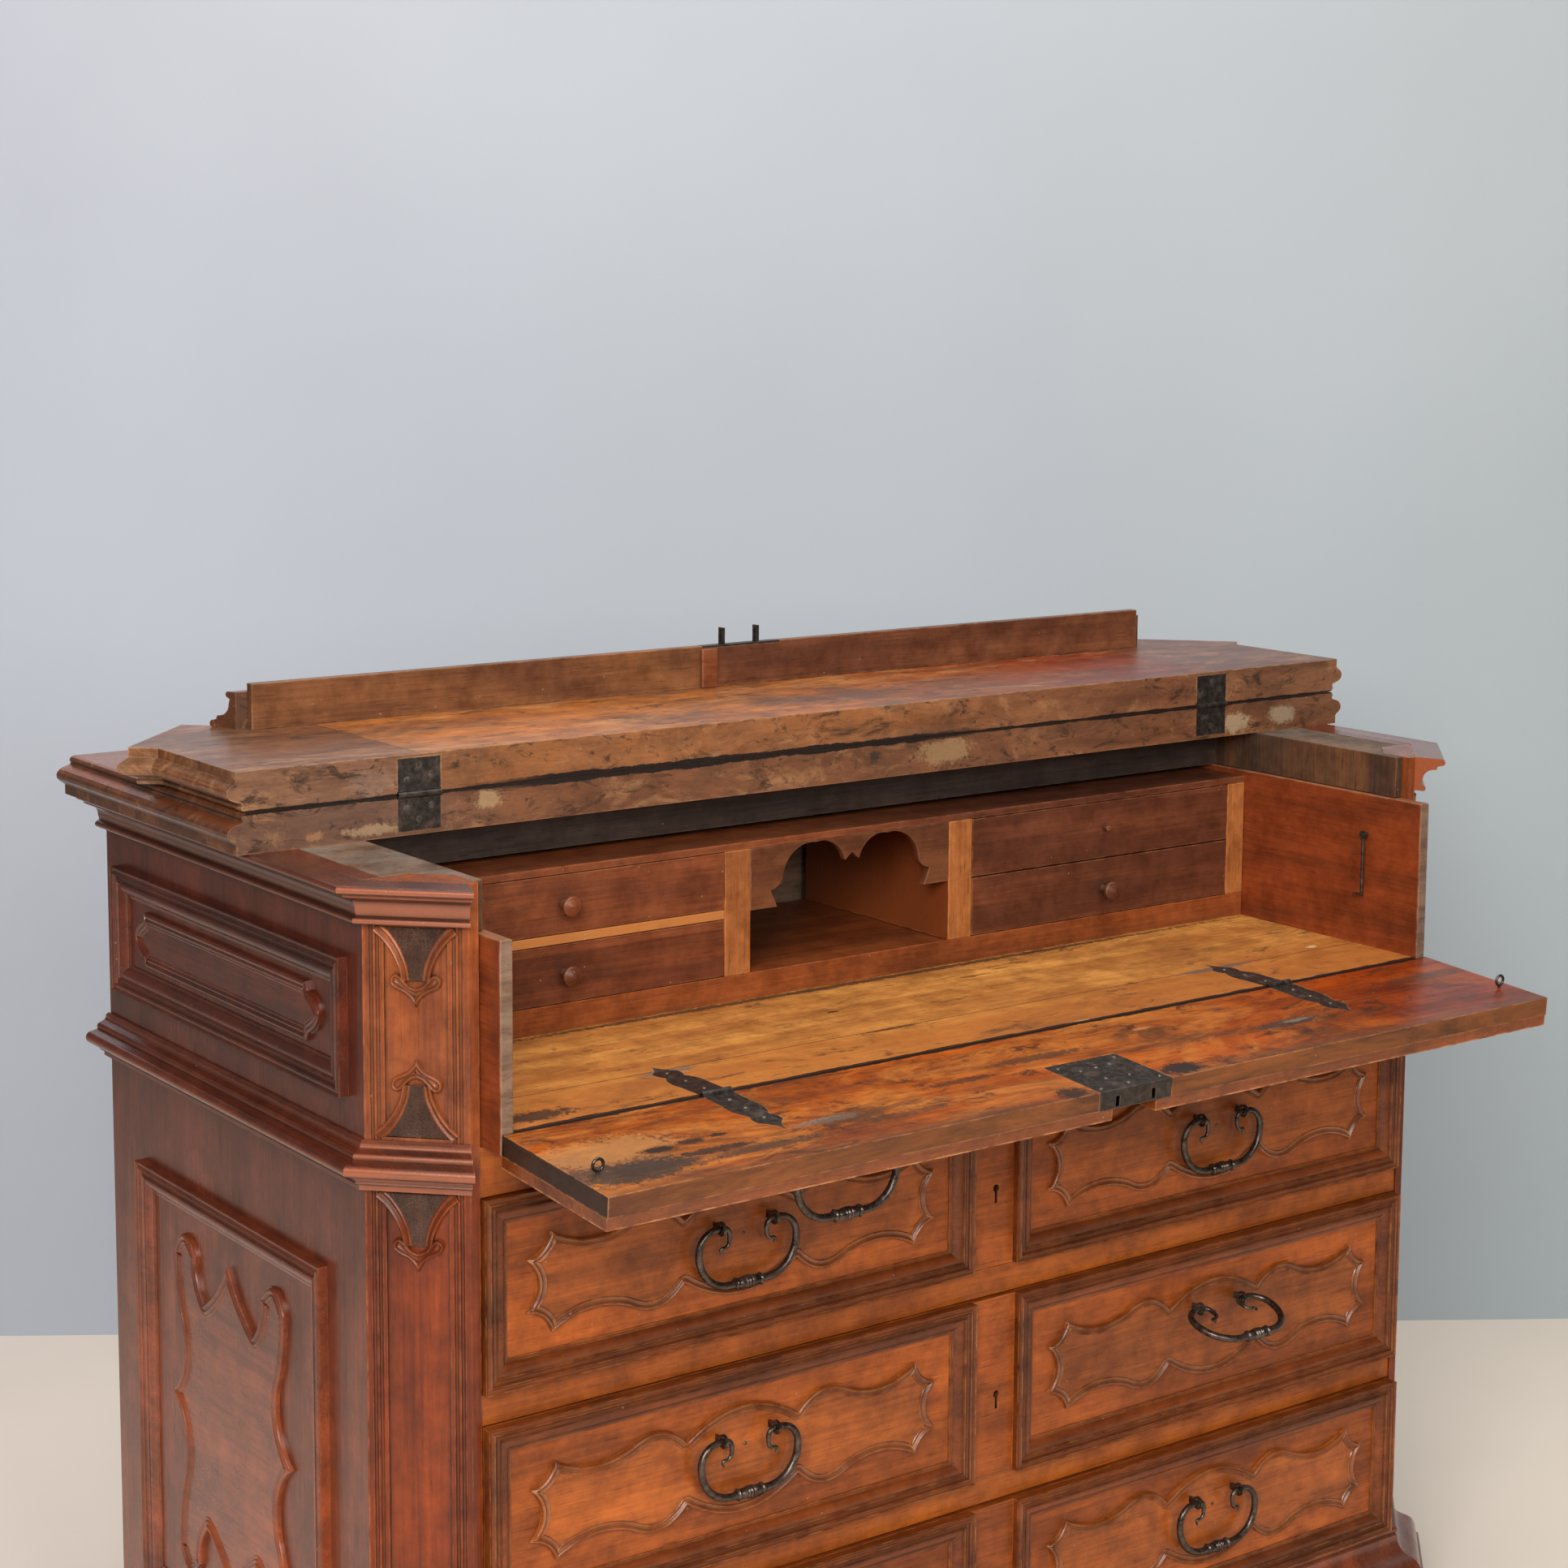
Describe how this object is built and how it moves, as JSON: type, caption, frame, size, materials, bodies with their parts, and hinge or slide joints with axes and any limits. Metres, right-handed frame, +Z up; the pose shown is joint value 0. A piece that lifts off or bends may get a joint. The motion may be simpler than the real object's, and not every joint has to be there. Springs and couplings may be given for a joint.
{
  "type": "writing commode",
  "caption": "Canted baroque walnut commode with long panelled drawers, a folding top and a pull-out writing drawer with fall flap, small drawers and pigeonhole.",
  "frame": {"origin": "on the floor under the middle of the open commode: half the width, and half the depth from the free edge of the lowered flap's level position to the back", "axes": "+X to the commode's right as its user stands in front of it, along its width; +Y to the back; +Z up"},
  "size_m": [1.559, 0.8568, 1.2116],
  "materials": {
    "case_walnut": "old wax polish, worn at edges",
    "front_walnut": "old wax polish, worn at edges",
    "inner_walnut": "old wax polish, worn at edges",
    "nest_walnut": "old wax polish, worn at edges",
    "pale_wood": "old wax polish, worn at edges",
    "iron": "forged, blackened and burnished by handling"
  },
  "bodies": {
    "case": {"left_side": "case_walnut", "right_side": "case_walnut", "left_post": "front_walnut", "right_post": "front_walnut", "side_mouldings": "case_walnut", "pilaster_carvings": "front_walnut", "case_mouldings": "case_walnut", "base_moulding": "case_walnut", "back_boards": "pale_wood", "front_rails": "front_walnut", "inner_frame": "pale_wood", "feet": "case_walnut", "top_side_rails": "case_walnut", "top_cross_rail": "pale_wood", "fixed_top": "case_walnut", "top_hinge_fixed_leaves": "iron"},
    "folding_top": {"folding_top": "inner_walnut", "fascia_board": "inner_walnut", "fascia_moulding": "case_walnut", "staple_plate": "iron", "top_hinge_folding_leaves": "iron"},
    "writing_drawer": {"writing_drawer_case": "nest_walnut", "writing_floor": "inner_walnut", "nest_top": "nest_walnut", "nest_uprights": "nest_walnut", "nest_shelves": "nest_walnut", "arch_apron": "nest_walnut", "writing_drawer_ironwork": "iron"},
    "hook_left": {"hook_left": "iron"},
    "hook_right": {"hook_right": "iron"},
    "flap": {"flap_board": "inner_walnut", "flap_mouldings": "front_walnut", "flap_lock_case": "iron", "flap_ironwork": "iron", "flap_strap_leaves": "iron"},
    "flap_lock_bolt": {"flap_lock_bolt": "iron"},
    "flap_handle_left": {"flap_handle_left": "iron"},
    "flap_handle_right": {"flap_handle_right": "iron"},
    "nest_drawer_left_upper": {"nest_drawer_left_upper": "nest_walnut"},
    "nest_drawer_left_lower": {"nest_drawer_left_lower": "nest_walnut"},
    "nest_drawer_right_upper": {"nest_drawer_right_upper": "nest_walnut"},
    "nest_drawer_right_lower": {"nest_drawer_right_lower": "nest_walnut"},
    "bottom_drawer": {"bottom_drawer_front": "front_walnut", "bottom_drawer_box": "pale_wood", "bottom_drawer_mouldings": "front_walnut", "bottom_drawer_ironwork": "iron"},
    "bottom_drawer_handle_left": {"bottom_drawer_handle_left": "iron"},
    "bottom_drawer_handle_right": {"bottom_drawer_handle_right": "iron"},
    "middle_drawer": {"middle_drawer_front": "front_walnut", "middle_drawer_box": "pale_wood", "middle_drawer_mouldings": "front_walnut", "middle_drawer_ironwork": "iron"},
    "middle_drawer_handle_left": {"middle_drawer_handle_left": "iron"},
    "middle_drawer_handle_right": {"middle_drawer_handle_right": "iron"},
    "top_drawer": {"top_drawer_front": "front_walnut", "top_drawer_box": "pale_wood", "top_drawer_mouldings": "front_walnut", "top_drawer_ironwork": "iron"},
    "top_drawer_handle_left": {"top_drawer_handle_left": "iron"},
    "top_drawer_handle_right": {"top_drawer_handle_right": "iron"}
  },
  "joints": [
    {"name": "lid_fold", "type": "hinge", "parent": "case", "child": "folding_top", "pos_m": [0, 0.01865, 1.1048], "axis": [1, 0, 0], "range_deg": [0, 180]},
    {"name": "writing_drawer_slide", "type": "slide", "parent": "case", "child": "writing_drawer", "axis": [0, 1, 0], "range_m": [0, 0.0493]},
    {"name": "flap_hinge", "type": "hinge", "parent": "writing_drawer", "child": "flap", "pos_m": [0, -0.24965, 0.8375], "axis": [-1, 0, 0], "range_deg": [0, 93.9]},
    {"name": "nest_drawer_left_upper_slide", "type": "slide", "parent": "writing_drawer", "child": "nest_drawer_left_upper", "axis": [0, -1, 0], "range_m": [0, 0.2]},
    {"name": "nest_drawer_left_lower_slide", "type": "slide", "parent": "writing_drawer", "child": "nest_drawer_left_lower", "axis": [0, -1, 0], "range_m": [0, 0.2]},
    {"name": "nest_drawer_right_upper_slide", "type": "slide", "parent": "writing_drawer", "child": "nest_drawer_right_upper", "axis": [0, -1, 0], "range_m": [0, 0.2]},
    {"name": "nest_drawer_right_lower_slide", "type": "slide", "parent": "writing_drawer", "child": "nest_drawer_right_lower", "axis": [0, -1, 0], "range_m": [0, 0.2]},
    {"name": "hook_left_pivot", "type": "hinge", "parent": "writing_drawer", "child": "hook_left", "pos_m": [-0.5952, -0.16965, 0.9695], "axis": [-1, 0, 0], "range_deg": [0, 90]},
    {"name": "hook_right_pivot", "type": "hinge", "parent": "writing_drawer", "child": "hook_right", "pos_m": [0.5952, -0.16965, 0.9695], "axis": [-1, 0, 0], "range_deg": [0, 90]},
    {"name": "flap_lock_bolt_slide", "type": "slide", "parent": "flap", "child": "flap_lock_bolt", "axis": [1, 0, 0], "range_m": [0, 0.012]},
    {"name": "flap_handle_left_pivot", "type": "hinge", "parent": "flap", "child": "flap_handle_left", "pos_m": [-0.31375, -0.37125, 0.79814], "axis": [1, 0, 0], "range_deg": [-70, 93.9]},
    {"name": "flap_handle_right_pivot", "type": "hinge", "parent": "flap", "child": "flap_handle_right", "pos_m": [0.31375, -0.37125, 0.79814], "axis": [1, 0, 0], "range_deg": [-160, 3.9]},
    {"name": "bottom_drawer_slide", "type": "slide", "parent": "case", "child": "bottom_drawer", "axis": [0, -1, 0], "range_m": [-0.008, 0.4]},
    {"name": "middle_drawer_slide", "type": "slide", "parent": "case", "child": "middle_drawer", "axis": [0, -1, 0], "range_m": [-0.005, 0.4]},
    {"name": "top_drawer_slide", "type": "slide", "parent": "case", "child": "top_drawer", "axis": [0, -1, 0], "range_m": [0, 0.4]},
    {"name": "bottom_drawer_handle_left_pivot", "type": "hinge", "parent": "bottom_drawer", "child": "bottom_drawer_handle_left", "pos_m": [-0.323, -0.23285, 0.25365], "axis": [-1, 0, 0], "range_deg": [0, 100]},
    {"name": "bottom_drawer_handle_right_pivot", "type": "hinge", "parent": "bottom_drawer", "child": "bottom_drawer_handle_right", "pos_m": [0.323, -0.23285, 0.25365], "axis": [-1, 0, 0], "range_deg": [0, 100]},
    {"name": "middle_drawer_handle_left_pivot", "type": "hinge", "parent": "middle_drawer", "child": "middle_drawer_handle_left", "pos_m": [-0.323, -0.22985, 0.47765], "axis": [-1, 0, 0], "range_deg": [0, 100]},
    {"name": "middle_drawer_handle_right_pivot", "type": "hinge", "parent": "middle_drawer", "child": "middle_drawer_handle_right", "pos_m": [0.323, -0.22985, 0.47765], "axis": [-1, 0, 0], "range_deg": [-72, 28]},
    {"name": "top_drawer_handle_left_pivot", "type": "hinge", "parent": "top_drawer", "child": "top_drawer_handle_left", "pos_m": [-0.323, -0.22485, 0.6919], "axis": [-1, 0, 0], "range_deg": [0, 100]},
    {"name": "top_drawer_handle_right_pivot", "type": "hinge", "parent": "top_drawer", "child": "top_drawer_handle_right", "pos_m": [0.323, -0.22485, 0.6919], "axis": [-1, 0, 0], "range_deg": [0, 100]}
  ],
  "couplings": [
    {"joint": "flap_hinge", "follows": "writing_drawer_slide", "rad_per_m": 33.242}
  ]
}
